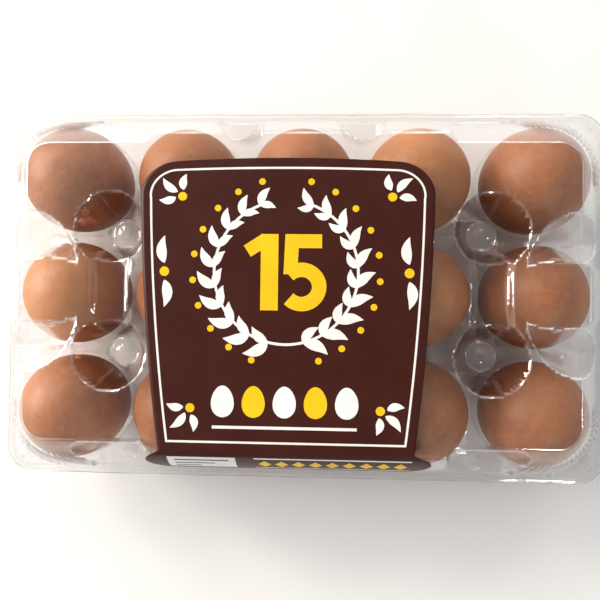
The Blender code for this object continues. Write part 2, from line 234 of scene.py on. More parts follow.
def nearest_funnel(x, y):
    """Distances along x and y to the nearest of the eight funnel centres."""
    across = np.where(x < PITCH, HALF_PITCH, PITCH + HALF_PITCH)
    return x - across, np.abs(y) - HALF_PITCH


def nearest_egg(x, y):
    """Distances along x and y to the axis of the nearest egg."""
    column = np.clip(np.round(x / PITCH), 0, COLUMNS // 2)
    row = np.clip(np.round(y / PITCH), -(ROWS // 2), ROWS // 2)
    return x - column * PITCH, y - row * PITCH


def egg_top(x, y):
    """Upper surface of the nearest egg: half an ellipse over the distance from its axis."""
    away = np.hypot(*nearest_egg(x, y)) / EGG_RADIUS
    rise = np.sqrt(np.maximum(1.0 - away * away, 0.0))
    return EGG_WIDEST_Z + (EGG_TOP_Z - EGG_WIDEST_Z) * rise


def corner_reach(angle, out_x, out_y, radius):
    """Length of a ray from the core's corner, at an angle, to a rounded corner's outline."""
    cos = np.cos(angle)
    sin = np.sin(angle)
    centre_x = out_x - radius
    centre_y = out_y - radius
    toward = centre_x * cos + centre_y * sin
    inside = toward ** 2 - centre_x ** 2 - centre_y ** 2 + radius ** 2
    arc = toward + np.sqrt(np.maximum(inside, 0.0))
    side = np.minimum(out_x / np.maximum(cos, 1e-9), out_y / np.maximum(sin, 1e-9))
    on_arc = (side * cos > centre_x) & (side * sin > centre_y)
    return np.where(on_arc, arc, side)


SLOPE_STEP = 0.05
SNAP_REACH = 0.47
SNAP_END = 1.5


def snap(i, j, gap):
    """Slides grid points onto the line where gap is zero.

    The distance to the line, in grid steps, is gap over its slope. Points within half a step
    move onto the line, and the pull fades out at one and a half steps.
    """
    def slopes(i, j):
        step = SLOPE_STEP
        down = (gap(i + step, j) - gap(i - step, j)) / (2.0 * step)
        over = (gap(i, j + step) - gap(i, j - step)) / (2.0 * step)
        steep = np.maximum(np.hypot(down, over), 1e-6)
        return gap(i, j) / steep, down / steep, over / steep

    away, down, over = slopes(i, j)
    on_line = np.abs(away) < SNAP_REACH
    fade = np.clip(SNAP_REACH * (SNAP_END - np.abs(away)), 0.0, SNAP_REACH)
    pull = np.where(on_line, away, np.sign(away) * fade)
    i = i - pull * down
    j = j - pull * over
    away, down, over = slopes(i, j)
    pull = np.where(on_line & (np.abs(away) < 0.5), away, 0.0)
    return i - pull * down, j - pull * over


def mirrored(middle, outer):
    """Grid lines of a middle part with outer ones added at both of its ends."""
    return np.concatenate((-outer[::-1], middle, outer))


def lid_lines(core):
    """Places of the grid lines: close together near the core's ends, then one for each ring."""
    coarse_end = core - FINE_REACH
    middle = np.linspace(-coarse_end, coarse_end, round(2.0 * coarse_end / COARSE_STEP) + 1)
    fine = np.linspace(coarse_end, core, round(FINE_REACH / FINE_STEP) + 1)[1:]
    return mirrored(middle, np.concatenate((fine, core + np.arange(1, LID_RINGS + 1))))


LID_LINES_X = lid_lines(CORE_X)
LID_LINES_Y = lid_lines(CORE_Y)


def at_line(places, index):
    """Place of a grid line whose index may lie between two lines."""
    return np.interp(index, np.arange(len(places)), places)


def grid_places(rows, columns):
    """Row and column number of each point of a grid."""
    return np.meshgrid(np.arange(rows, dtype=float), np.arange(columns, dtype=float), indexing="ij")


def grid_faces(rows, columns):
    """Four-sided faces of a grid of points, row by row."""
    index = np.arange(rows * columns).reshape(rows, columns)
    return np.stack(
        (index[:-1, :-1], index[1:, :-1], index[1:, 1:], index[:-1, 1:]), -1).reshape(-1, 4)


def make_mesh(name, points, faces, smooth_shade=True):
    """A mesh object at the origin, from points in millimetres and rows of equal faces."""
    mesh = bpy.data.meshes.new(name)
    faces = np.asarray(faces, dtype=np.int32)
    sides = faces.shape[1]
    mesh.vertices.add(len(points))
    mesh.vertices.foreach_set("co", (np.asarray(points) * MM).astype(np.float32).ravel())
    mesh.loops.add(faces.size)
    mesh.loops.foreach_set("vertex_index", faces.ravel())
    mesh.polygons.add(len(faces))
    mesh.polygons.foreach_set("loop_start", np.arange(0, faces.size, sides, dtype=np.int32))
    mesh.update(calc_edges=True)
    mesh.validate()
    if smooth_shade:
        mesh.shade_smooth()
    else:
        mesh.shade_flat()
    obj = bpy.data.objects.new(name, mesh)
    bpy.context.scene.collection.objects.link(obj)
    return obj


def grid_surface(name, place, i, j):
    """Sheet over a grid of places, with points up for i along x and j along y.

    Each cell is split along the diagonal whose middle lies nearer to the surface, so that
    a crease runs along edges of the mesh.
    """
    rows, columns = i.shape
    points = place(i, j)

    def miss(first, second):
        middle = place((i[first] + i[second]) / 2.0, (j[first] + j[second]) / 2.0)
        return np.linalg.norm(middle - (points[first] + points[second]) / 2.0, axis=-1)

    low = slice(None, -1)
    high = slice(1, None)
    rising = miss((low, low), (high, high)) <= miss((high, low), (low, high))
    index = np.arange(rows * columns).reshape(rows, columns)
    a, b = index[low, low], index[high, low]
    c, d = index[high, high], index[low, high]
    first = np.where(rising[..., None], np.stack((a, b, c), -1), np.stack((a, b, d), -1))
    second = np.where(rising[..., None], np.stack((a, c, d), -1), np.stack((b, c, d), -1))
    faces = np.concatenate((first.reshape(-1, 3), second.reshape(-1, 3)))
    return make_mesh(name, points.reshape(-1, 3), faces)


def thicken(obj, thickness):
    """Gives a sheet its thickness, on the side that its faces look away from."""
    solidify = obj.modifiers.new("Thickness", "SOLIDIFY")
    solidify.thickness = thickness * MM
    solidify.offset = -1.0
    solidify.use_even_offset = False
    solidify.use_rim = True


# Lid


def funnel_height(x, y, lid):
    """Flat floor with a pip, a wall whose height is distance to the power 0.84, and a
    straight slope on past the rim."""
    away = np.hypot(*nearest_funnel(x, y))
    rim = lid.funnel_rim / MM
    floor = lid.funnel_floor / MM
    depth = lid.funnel_depth / MM
    t = (away - floor) / (rim - floor)
    wall = depth * np.clip(t, 0.0, 1.0) ** 0.84 + 2.1 * np.maximum(away - rim, 0.0)
    pip = lid.pip_height / MM * smooth((lid.pip_radius / MM - away) / 1.1 + 0.5)
    return LID_TOP - depth + wall + pip


def channel_height(x, y, lid):
    """Floor at the channel's depth with straight walls up to its edges, which widen with the
    cube of y until they are tangent to the two funnels."""
    dx, _ = nearest_funnel(x, y)
    narrow = lid.channel_width / MM
    wide = lid.funnel_rim / MM
    edge = narrow + (wide - narrow) * np.minimum(np.abs(y) / HALF_PITCH, 1.2) ** 3
    inside = PRESSED_SLOPE * (edge - np.abs(dx))
    past_end = 6.0 * np.maximum(np.abs(y) - HALF_PITCH, 0.0)
    return LID_TOP - soft_min(inside, lid.channel_depth / MM, 1.0) + past_end


SIDE_TIP_X = 84.2
SIDE_TIP_Y = 10.2
SIDE_REACH_Y = 21.0
SIDE_BULGE = 1.9
SIDE_BULGE_RUN = 20.0
SIDE_BEND_RUN = 6.3
LEDGE_Z = 34.6


def side_flute_height(x, y, lid):
    """Two straight slopes that meet in a rounded valley. One starts from an edge that bulges
    round the end cell, and one from an edge that bends round the corner cell, by an
    exponential of the way out from the tip."""
    run = x - SIDE_TIP_X
    side = np.abs(y)
    bulge = SIDE_BULGE * np.sin(math.pi * np.clip(run / SIDE_BULGE_RUN, 0.0, 1.0))
    near = SIDE_TIP_Y + 0.07 * run + bulge
    bend = 1.0 - np.exp(-np.maximum(run, -9.0) / SIDE_BEND_RUN)
    far = SIDE_TIP_Y + 0.4 + SIDE_REACH_Y * bend
    valley = soft_max(PRESSED_SLOPE * (near - side), PRESSED_SLOPE * (side - far), 4.0)
    return soft_max(soft_max(LID_TOP + valley, egg_top(x, y) + EGG_ROOM, 2.0), LEDGE_Z, 1.2)


BACK_FLUTE_X = 24.2
BACK_TOP_Y = 64.5
BACK_TOP_RADIUS = 7.0
BACK_LOW_Y = 73.4
BACK_LOW_RADIUS = 9.8
BACK_HALF = 7.3
BACK_SIDE_SLOPE = 9.0


def back_flute_height(x, y, lid):
    """Half of a leaning cone: its circle moves back and grows from the top to the ledge, and
    the height is where the circle leaves the point. Steep planes close its two sides."""
    dx = x - BACK_FLUTE_X
    dy = y - BACK_TOP_Y
    fall = LID_TOP - LEDGE_Z
    move = BACK_LOW_Y - BACK_TOP_Y
    grow = BACK_LOW_RADIUS - BACK_TOP_RADIUS
    a = move ** 2 - grow ** 2
    b = -2.0 * (move * dy + grow * BACK_TOP_RADIUS)
    c = dx ** 2 + dy ** 2 - BACK_TOP_RADIUS ** 2
    inside = b * b - 4.0 * a * c
    depth = (-b + np.sign(inside) * np.sqrt(np.abs(inside))) / (2.0 * a)
    depth = np.where(inside > 0.0, depth, np.minimum(depth, 0.0) + inside * 1e-3)
    sides = LEDGE_Z + BACK_SIDE_SLOPE * np.maximum(np.abs(dx) - BACK_HALF, 0.0)
    height = np.maximum(LID_TOP - fall * np.minimum(depth, 1.0), sides)
    return soft_max(height, egg_top(x, y) + EGG_ROOM, 1.0)


PAD_X = 72.3
PAD_HALF = 11.3
PAD_BACK_Y = 60.8
PAD_Z = 37.6
PAD_FALL = 0.22
PAD_BACK_SLOPE = 8.5
PAD_SIDE_SLOPE = 5.0
STUD_FRONT = (71.4, 67.8)
STUD_BACK = (66.6, 65.8)


def pad_height(x, y, lid):
    """Nearly flat shelf low in the front wall, with steep sides and a steep back, which
    gives way to the eggs beside it."""
    out = -y
    shelf = PAD_Z - PAD_FALL * (out - STUD_FRONT[1])
    back = PAD_BACK_SLOPE * np.maximum(PAD_BACK_Y - out, 0.0)
    side = PAD_SIDE_SLOPE * np.maximum(np.abs(x - PAD_X) - PAD_HALF, 0.0)
    return soft_max(shelf + back + side, egg_top(x, y) + EGG_ROOM, 1.2)


def stud_height(x, y, lid):
    """Low round dome on each pad and opposite on the back wall."""
    radius = lid.stud_radius / MM
    centre_x, centre_y = (
        np.where(y < 0.0, front, back) for front, back in zip(STUD_FRONT, STUD_BACK))
    away = np.hypot(np.abs(x) - centre_x, np.abs(y) - centre_y)
    return lid.stud_height / MM * smooth((radius + 0.7 - away) / 1.4)


def wall_out(height, extra):
    """How far the wall stands out from the core at a height, where the plateau above it
    stands out an extra step."""
    bulge = extra * BULGE_SHARE * smooth((height - BULGE_LOW_Z) / BULGE_RISE)
    return np.polyval(WALL_CURVE, height) + bulge


def lid_ring(ring, extra):
    """Distance out and height of a ring: across the plateau, down the wall's curve by even
    steps of its length, then over the flange."""
    across = 1.0 - (1.0 - np.clip(ring / PLATEAU_RINGS, 0.0, 1.0)) ** 1.25
    part = np.clip((ring - PLATEAU_RINGS) / WALL_RINGS, 0.0, 1.0)
    eased = 0.78 * part + 0.22 * part ** 2
    height = LID_TOP - (LID_TOP - LID_FOOT) * eased
    on_plateau = (PLATEAU_OUT + extra) * across
    return np.where(ring <= PLATEAU_RINGS, on_plateau, wall_out(height, extra)), height


def lid_base(u, v):
    """Points of the lid before anything is pressed into it, and each point's ring.

    Inside the core the grid is plain. Past it, rings run parallel to the core on its sides and
    round its corners, and a ring's distance out and height come from lid_ring.
    """
    past_x = np.maximum(np.abs(u) - CORE_X, 0.0)
    past_y = np.maximum(np.abs(v) - CORE_Y, 0.0)
    ring = np.maximum(past_x, past_y)
    part = np.minimum(past_x, past_y) / np.maximum(ring, 1e-9)
    angle = np.where(past_x >= past_y, part, 2.0 - part) * math.pi / 4.0
    x = np.minimum(np.abs(u), CORE_X)
    y = np.minimum(np.abs(v), CORE_Y)
    extra_y = PLATEAU_MIDDLE_EXTRA * (1.0 - smooth((x - PLATEAU_MIDDLE_X) / PLATEAU_EASE))
    extra_x = PLATEAU_END_EXTRA * (1.0 - smooth((y - PLATEAU_END_Y) / PLATEAU_EASE))
    out_x, height = lid_ring(ring, extra_x)
    out_y, _ = lid_ring(ring, extra_y)
    squareness = 0.12 * smooth((50.0 - height) / 17.0)
    radius = np.minimum(out_x, out_y) * (1.0 - squareness)

    rings = np.arange(FOOT_RING, LID_RINGS + 1)
    foot_to_rim = np.interp(ring, rings, (0.0,) + (1.0,) * len(FLANGE_INSETS))
    inset = np.interp(ring, rings[1:], FLANGE_INSETS)
    reach = corner_reach(angle, out_x, out_y, radius)
    rim = corner_reach(
        angle, LID_HIGH.x - CORE_X - inset, LID_HIGH.y - CORE_Y - inset, FLANGE_CORNER - inset)
    reach = reach + (rim - reach) * foot_to_rim
    x = x + reach * np.cos(angle)
    y = y + reach * np.sin(angle)
    return x, y, height, ring, angle


PRESSED = (funnel_height, channel_height, side_flute_height, back_flute_height, pad_height)
# Strength of the painted highlight line where each pressed shape meets the lid.
PRESSED_EDGE_HIGHLIGHTS = (0.72, 0.36, 1.0, 0.9, 0.8)


def lid_layers(i, j, lid):
    """The lid's base points, with y signed and x not, and the height of the base and of each
    shape that is pressed into it. The sheet follows the lowest of them."""
    v = at_line(LID_LINES_Y, j)
    x, y, height, ring, angle = lid_base(at_line(LID_LINES_X, i), v)
    y = np.copysign(y, v)
    layers = [height] + [shape(x, y, lid) for shape in PRESSED]
    return x, y, ring, angle, layers


PLEATS_FROM = math.radians(-26.0)
PLEATS_TO = math.radians(124.0)
PLEATS_EASE = 0.22
PLEAT_TURNS = 52.0


def corner_pleats(x, y, height):
    """Upright pleats round the corner cells: a cosine of the angle about the cell's middle,
    which fades out along the sides, at the top edge and at the foot. A slower wave makes
    some stand out further than others. A full pleat reaches about 0.65, a crease -0.35."""
    angle = np.arctan2(y - CORE_Y, x - CORE_X)
    along = smooth((angle - PLEATS_FROM) / PLEATS_EASE) * smooth((PLEATS_TO - angle) / PLEATS_EASE)
    upright = smooth((LID_TOP - 3.0 - height) / 9.0) * smooth((height - LID_FOOT - 0.5) / 3.0)
    far = smooth((np.hypot(x - CORE_X, y - CORE_Y) - 9.0) / 3.0)
    wave = 0.15 + 0.5 * np.cos(angle * PLEAT_TURNS + 0.5 * np.sin(height * 0.4))
    uneven = 0.8 + 0.2 * np.sin(angle * 7.0 + height * 0.15)
    return wave * uneven * along * upright * far


def lid_place(i, j, lid):
    """Point of the finished lid for a place on its grid: the lowest layer, then the studs, the
    pleats, the bead and a slight sway of the rim."""
    x, y, ring, angle, layers = lid_layers(i, j, lid)
    height = np.minimum.reduce(layers)
    in_wall = (ring > PLATEAU_RINGS + 1) & (ring < FOOT_RING - 1)
    height = height + np.where(in_wall, stud_height(x, y, lid), 0.0)
    side = np.sign(y) + (y == 0.0)
    y = np.abs(y)
    pleat = lid.pleat_depth / MM * corner_pleats(x, y, height)
    about = np.arctan2(y - CORE_Y, x - CORE_X)
    x = x + pleat * np.cos(about)
    y = y + pleat * np.sin(about)
    flange = smooth((ring - FOOT_RING - 0.5) / 0.5)
    bead = np.exp(-((BEAD_RING - ring) / 1.2) ** 2)
    height = height + lid.bead_height / MM * flange * bead
    sway = RIM_SWAY * (1.0 + np.sin(x * 0.16 + 1.3) * np.sin(y * 0.21 + 0.4)) * flange
    x = x - sway * np.cos(angle)
    y = y - sway * np.sin(angle)
    return np.stack((np.copysign(x, at_line(LID_LINES_X, i)), y * side, height), axis=-1)


def funnel_rings(i, j, lid, radius):
    """How far a grid place lies from a circle about the nearest funnel's centre."""
    x, y, *_ = lid_layers(i, j, lid)
    return np.hypot(*nearest_funnel(x, y)) - radius / MM


def lid_edge_highlights(i, j, lid):
    """Strength of the painted highlight lines: 1 on a sharp edge of the lid and 0 off it, less where the
    edge is softer, and up to 0.8 along the top of each pleat.
    """
    x, y, ring, _, layers = lid_layers(i, j, lid)
    lowest = np.minimum.reduce(layers)
    marks = [
        ((np.abs(ring - PLATEAU_RINGS) < 0.1) & (lowest > LID_TOP - 0.1), 1.0),
        (np.abs(ring - FOOT_RING) < 0.1, 0.6),
        (np.abs(ring - BEAD_RING) < 0.1, 0.5),
        (ring > LID_RINGS - 0.1, 0.9),
        (np.abs(funnel_rings(i, j, lid, lid.funnel_floor)) < 0.03, 0.7),
        (np.abs(funnel_rings(i, j, lid, lid.pip_radius)) < 0.03, 0.5),
    ]
    for count, strength in enumerate(PRESSED_EDGE_HIGHLIGHTS, start=1):
        met = np.abs(np.minimum.reduce(layers[:count]) - layers[count]) < 0.04
        marks.append((met & (layers[count] < lowest + 0.1), strength))
    edges = [np.where(where, strength, 0.0) for where, strength in marks]
    # Painted highlight lines along the tops of the corner pleats.
    crest_highlights = np.clip(1.3 * corner_pleats(x, np.abs(y), lowest), 0.0, 0.8)
    return np.maximum.reduce([*edges, crest_highlights])


def lid_nests(i, j, lid):
    """Where the painted reflection of the eggs goes: 1 on the wall of a funnel and in the creases
    between pleats, which mirror the eggs beside them, less on a funnel's floor and 0 elsewhere."""
    x, y, _, _, layers = lid_layers(i, j, lid)
    lowest = np.minimum.reduce(layers)
    funnel = layers[1 + PRESSED.index(funnel_height)]
    on_wall = funnel_rings(i, j, lid, lid.funnel_floor) > -0.05
    nests = np.where(funnel < lowest + 0.02, np.where(on_wall, 1.0, 0.25), 0.0)
    return np.maximum(nests, np.clip(-4.0 * corner_pleats(x, np.abs(y), lowest), 0.0, 1.0))


def keep(piece, name, values):
    """Keeps a value on each point, for the clear sheet's material."""
    layer = piece.data.attributes.new(name, "FLOAT", "POINT")
    layer.data.foreach_set("value", values.astype(np.float32).ravel())


def make_lid(lid):
    """The lid's grid, slid onto each edge in turn."""
    def gap(i, j, count):
        layers = lid_layers(i, j, lid)[-1]
        return np.minimum.reduce(layers[:count]) - layers[count]

    i, j = grid_places(len(LID_LINES_X), len(LID_LINES_Y))
    for radius in (lid.funnel_floor, lid.pip_radius):
        i, j = snap(i, j, lambda i, j: funnel_rings(i, j, lid, radius))
    for count in range(1, len(PRESSED) + 1):
        i, j = snap(i, j, lambda i, j: gap(i, j, count))
    piece = grid_surface("lid_sheet", lambda i, j: lid_place(i, j, lid), i, j)
    # Masks for the painted highlights on the edges and the painted reflection of the eggs.
    keep(piece, "edge", lid_edge_highlights(i, j, lid))
    keep(piece, "nest", lid_nests(i, j, lid))
    thicken(piece, lid.sheet / MM)
    return piece


# Tray

TRAY_CORE_X = COLUMNS * HALF_PITCH
TRAY_CORE_Y = ROWS * HALF_PITCH
TRAY_STEP = 1.2
TRAY_INSETS = (4.2, 3.2, 2.2, 1.2, 0.5, 0.0)
TRAY_TOP = 32.0
CUP_CENTRE_Z = 2.0
CUP_WAIST_Z = 9.0
CUP_RIBS = 12
RIB_DEPTH = 0.25
PILLAR_SPREAD = 8.1


def tray_lines(core):
    """Places of the grid lines: even over the cups, then one for each ring of the flange."""
    middle = np.linspace(-core, core, round(2.0 * core / TRAY_STEP) + 1)
    return mirrored(middle, core + np.arange(1, len(TRAY_INSETS) + 1))


TRAY_LINES_X = tray_lines(TRAY_CORE_X)
TRAY_LINES_Y = tray_lines(TRAY_CORE_Y)


def land_height(x, y, tray):
    """Webs between the cups, a pillar where four cells meet, and a rise to the flange."""
    away = np.hypot(*nearest_funnel(x, y))
    rise = 1.0 - smooth((away - tray.pillar_radius / MM) / PILLAR_SPREAD)
    web = tray.web_height / MM
    pillar = web + (TRAY_HIGH.z - web) * rise
    to_edge = np.minimum(TRAY_CORE_X - x, TRAY_CORE_Y - y)
    lift = 1.0 - smooth(to_edge / (HALF_PITCH - 4.0))
    return pillar + (TRAY_TOP - pillar) * lift


def tray_height(x, y, tray):
    """Cups: a low middle, a ring to stand on, a wall out to the waist, then up to the land."""
    dx, dy = nearest_egg(x, y)
    away = np.hypot(dx, dy)
    floor = tray.cup_floor / MM
    waist = tray.cup_waist / MM
    rim = tray.cup_rim / MM
    stand = tray.sheet / MM
    low = CUP_CENTRE_Z + (stand - CUP_CENTRE_Z) * smooth((away - 4.0) / (floor - 5.0))
    part = np.clip((away - floor) / (waist - floor), 0.0, 1.0)
    wall = stand + (CUP_WAIST_Z - stand) * part ** 1.7
    land = land_height(x, y, tray)
    side = CUP_WAIST_Z + (land - CUP_WAIST_Z) * np.clip((away - waist) / (rim - waist), 0.0, 1.0)
    cup = np.where(away < floor, low, np.where(away < waist, wall, side))
    ribs = RIB_DEPTH * np.cos(CUP_RIBS * np.arctan2(dy, dx))
    on_wall = smooth((away - floor - 2.0) / 3.0) * smooth((rim - away) / 3.0)
    return cup + ribs * on_wall


def tray_place(i, j, tray):
    """Plain grid over the cups, then rings over the flange with rounded corners."""
    u = at_line(TRAY_LINES_X, i)
    v = at_line(TRAY_LINES_Y, j)
    past_x = np.maximum(np.abs(u) - TRAY_CORE_X, 0.0)
    past_y = np.maximum(np.abs(v) - TRAY_CORE_Y, 0.0)
    ring = np.maximum(past_x, past_y)
    rings = np.arange(len(TRAY_INSETS)) + 1.0
    inset = np.interp(ring, rings, TRAY_INSETS)
    share_x = past_x / np.maximum(ring, 1e-9)
    share_y = past_y / np.maximum(ring, 1e-9)
    reach = np.minimum(ring, 1.0)
    x = np.minimum(np.abs(u), TRAY_CORE_X)
    y = np.minimum(np.abs(v), TRAY_CORE_Y)
    x = x + (TRAY_HIGH.x - inset - TRAY_CORE_X) * share_x * reach
    y = y + (TRAY_HIGH.y - inset - TRAY_CORE_Y) * share_y * reach
    over_x = np.maximum(x - CORNER_X, 0.0)
    over_y = np.maximum(y - CORNER_Y, 0.0)
    over = np.hypot(over_x, over_y)
    corner = (ring > 0.0) & (over_x > 0.0) & (over_y > 0.0)
    scale = np.where(corner, (FLANGE_CORNER - inset) / np.maximum(over, 1e-9), 1.0)
    scale = 1.0 + (np.minimum(scale, 1.0) - 1.0) * reach
    x = np.where(corner, CORNER_X + over_x * scale, x)
    y = np.where(corner, CORNER_Y + over_y * scale, y)
    height = np.where(ring > 0.0, TRAY_TOP, tray_height(x, y, tray))
    return np.stack((np.copysign(x, u), np.copysign(y, v), height), axis=-1)


def make_tray(tray):
    """The tray's grid, with painted highlight lines kept on its rim and on the inner edge of its flange.
    """
    i, j = grid_places(len(TRAY_LINES_X), len(TRAY_LINES_Y))
    piece = grid_surface("tray_sheet", lambda i, j: tray_place(i, j, tray), i, j)
    from_rim = np.minimum.reduce((i, i.max() - i, j, j.max() - j))
    inner = from_rim == len(TRAY_INSETS)
    keep(piece, "edge", np.where(from_rim == 0, 0.9, np.where(inner, 0.4, 0.0)))
    thicken(piece, tray.sheet / MM)
    return piece


# Hinge

HINGE_RADIUS = 0.45
HINGE_HALF_LENGTH = LID_HIGH.x - FLANGE_CORNER - 1.0


def make_hinge_strip(sheet):
    """Half a thin tube along the back edge: a half turn about the hinge's line."""
    along = np.linspace(-HINGE_HALF_LENGTH, HINGE_HALF_LENGTH, 61)
    turn = np.linspace(-math.pi / 2.0, math.pi / 2.0, 13)
    x, a = np.meshgrid(along, turn, indexing="ij")
    y = HINGE_Y - 0.3 + HINGE_RADIUS * np.cos(a)
    z = HINGE_Z + HINGE_RADIUS * np.sin(a)
    points = np.stack((x, y, z), axis=-1).reshape(-1, 3)
    piece = make_mesh("hinge_strip", points, grid_faces(len(along), len(turn)))
    thicken(piece, sheet)
    return piece


# Eggs

EGG_AROUND = 72
EGG_UP = 48
EGG_WIDEST = 0.562
EGG_SWAY = 0.004
EGG_FULLNESS = 0.012
EGG_SHADES = {
    "golden": ("egg_r1c4", "egg_r2c1", "egg_r2c4"),
    "reddish": ("egg_r1c5", "egg_r2c5", "egg_r3c5"),
    "greyish": ("egg_r1c1",),
}


def make_egg(node, seed):
    """An egg that fills its node's box: distance out is the cosine and height the sine of an
    angle, with a longer reach below the widest level, and a little sway round the shell."""
    low, high = (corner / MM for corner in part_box(node))
    centre_x = (low.x + high.x) / 2.0
    centre_y = (low.y + high.y) / 2.0
    radius = (high.x - low.x + high.y - low.y) / 4.0
    widest = low.z + (high.z - low.z) * EGG_WIDEST
    sway = np.random.default_rng(seed).uniform(0.0, 2.0 * math.pi)
    rise = np.linspace(-math.pi / 2.0, math.pi / 2.0, EGG_UP + 1)[1:-1]
    around = np.arange(EGG_AROUND) * 2.0 * math.pi / EGG_AROUND
    a, b = np.meshgrid(rise, around, indexing="ij")
    out = radius * np.cos(a) * (1.0 + EGG_SWAY * np.sin(2.0 * b + sway))
    reach = np.where(a > 0.0, high.z - widest, widest - low.z)
    fuller = 1.0 + EGG_FULLNESS * np.sin(2.0 * a) ** 2
    x = centre_x + out * fuller * np.cos(b)
    y = centre_y + out * fuller * np.sin(b)
    z = widest + reach * np.sin(a)
    body = np.stack((x, y, z), axis=-1).reshape(-1, 3)
    poles = [(centre_x, centre_y, low.z), (centre_x, centre_y, high.z)]
    points = np.concatenate((body, poles))
    index = np.arange(len(body)).reshape(len(rise), EGG_AROUND)
    ahead = np.roll(index, -1, axis=1)
    side = np.stack((index[:-1], ahead[:-1], ahead[1:], index[1:]), -1).reshape(-1, 4)
    bottom = np.full(EGG_AROUND, len(body))
    top = np.full(EGG_AROUND, len(body) + 1)
    faces = np.concatenate((side[:, [0, 1, 2]], side[:, [0, 2, 3]],
                            np.stack((bottom, ahead[0], index[0]), -1),
                            np.stack((index[-1], ahead[-1], top), -1)))
    return make_mesh("fine_" + node, points, faces)


def tint_egg(egg, shell):
    """Keeps the egg's own shade on its points, for the shell's material."""
    layer = egg.data.color_attributes.new("shade", "FLOAT_COLOR", "POINT")
    rgba = np.tile((*shell, 1.0), (len(egg.data.vertices), 1)).astype(np.float32)
    layer.data.foreach_set("color", rgba.ravel())


# Label

LABEL_BACK_Y = LABEL_HIGH.y
LABEL_FOLD_Y = -(CORE_Y + PLATEAU_OUT + PLATEAU_MIDDLE_EXTRA)
LABEL_ARCH = 1.4
LABEL_CORNER = 14.0
LABEL_FLAP = 16.0
LABEL_PATH_LOW_Z = 46.0
LABEL_PATH_STEP = 0.1
LABEL_FOLD_REACH = 12
FLAT_RUN = LABEL_BACK_Y - LABEL_FOLD_Y
LABEL_RUN = FLAT_RUN + LABEL_FLAP
LEFT_X = -60.0
RIGHT_X = 50.7
LEFT_FOLD_X = -52.0
RIGHT_FOLD_X = 43.6
LEFT_TIP_X = -57.5
RIGHT_TIP_X = 50.4


def label_path(lift):
    """Side line of the label: flat, then down the front wall's curve, rounded at the fold by
    a running mean over its length. Returns the run from the back edge, y and z."""
    heights = np.linspace(LID_TOP, LABEL_PATH_LOW_Z, 60)
    wall = np.stack((-CORE_Y - wall_out(heights, PLATEAU_MIDDLE_EXTRA), heights), -1)
    flat = np.linspace(LABEL_BACK_Y + 6.0, wall[0, 0] + 0.2, 200)
    line = np.concatenate((np.stack((flat, np.full_like(flat, LID_TOP)), -1), wall))
    run = np.concatenate(((0.0,), np.cumsum(np.linalg.norm(np.diff(line, axis=0), axis=1))))
    even = np.arange(0.0, run[-1], LABEL_PATH_STEP)
    y = np.interp(even, run, line[:, 0])
    z = np.interp(even, run, line[:, 1])
    window = np.ones(2 * LABEL_FOLD_REACH + 1) / (2 * LABEL_FOLD_REACH + 1)
    y = np.convolve(y, window, "valid")
    z = np.convolve(z, window, "valid")
    slope_y = np.gradient(y)
    slope_z = np.gradient(z)
    steep = np.hypot(slope_y, slope_z)
    y = y + lift * slope_z / steep
    z = z - lift * slope_y / steep
    even = np.concatenate(((0.0,), np.cumsum(np.hypot(np.diff(y), np.diff(z)))))
    start = np.interp(-LABEL_BACK_Y, -y[:200], even[:200])
    return even - start, y, z


def on_label(x, run, lift):
    """Point over a place on the label, given by x and the run from its back edge. That edge
    is arched: it draws in with the square of the distance from the label's middle line."""
    path_run, path_y, path_z = label_path(lift)
    left, right = label_edges(run)
    across = (2.0 * x - left - right) / (right - left)
    y = np.interp(run, path_run, path_y) - LABEL_ARCH * across ** 2 * (1.0 - smooth(run / 20.0))
    z = np.interp(run, path_run, path_z)
    return np.stack((x, y, z), axis=-1)


def label_edges(run):
    """Left and right edge at a run: they draw in with its square up to the fold, swell on the
    flap as half a sine, and turn in on a quarter circle at the back corners."""
    t = np.clip(run / FLAT_RUN, 0.0, 1.0) ** 2
    left = LEFT_X + (LEFT_FOLD_X - LEFT_X) * t
    right = RIGHT_X + (RIGHT_FOLD_X - RIGHT_X) * t
    flap = np.clip((run - FLAT_RUN) / LABEL_FLAP, 0.0, 1.0)
    swell = np.sin(math.pi * np.minimum(flap * 1.15, 1.0) ** 0.8)
    left = left + (LEFT_TIP_X - LEFT_FOLD_X) * swell
    right = right + (RIGHT_TIP_X - RIGHT_FOLD_X) * swell
    corner = np.clip(1.0 - run / LABEL_CORNER, 0.0, 1.0)
    inset = LABEL_CORNER * (1.0 - np.sqrt(np.maximum(1.0 - corner ** 2, 0.0)))
    return left + inset, right - inset


def make_label(label):
    """The printed sheet, a grid of runs and shares across between its two edges."""
    lift = (label.lift + label.sheet) / MM
    near_back = LABEL_CORNER * (1.0 - np.cos(np.linspace(0.0, math.pi / 2.0, 25)))
    rest = np.linspace(LABEL_CORNER, LABEL_RUN, 150)[1:]
    run = np.concatenate((near_back, rest))
    across = np.linspace(0.0, 1.0, 90)
    r, a = np.meshgrid(run, across, indexing="ij")
    left, right = label_edges(r)
    points = on_label(left + (right - left) * a, r, lift)
    piece = make_mesh("label_sheet", points.reshape(-1, 3), grid_faces(len(run), len(across)))
    thicken(piece, label.sheet / MM)
    return piece


# Printed shapes: x as on the label, y as it would be with the label laid flat


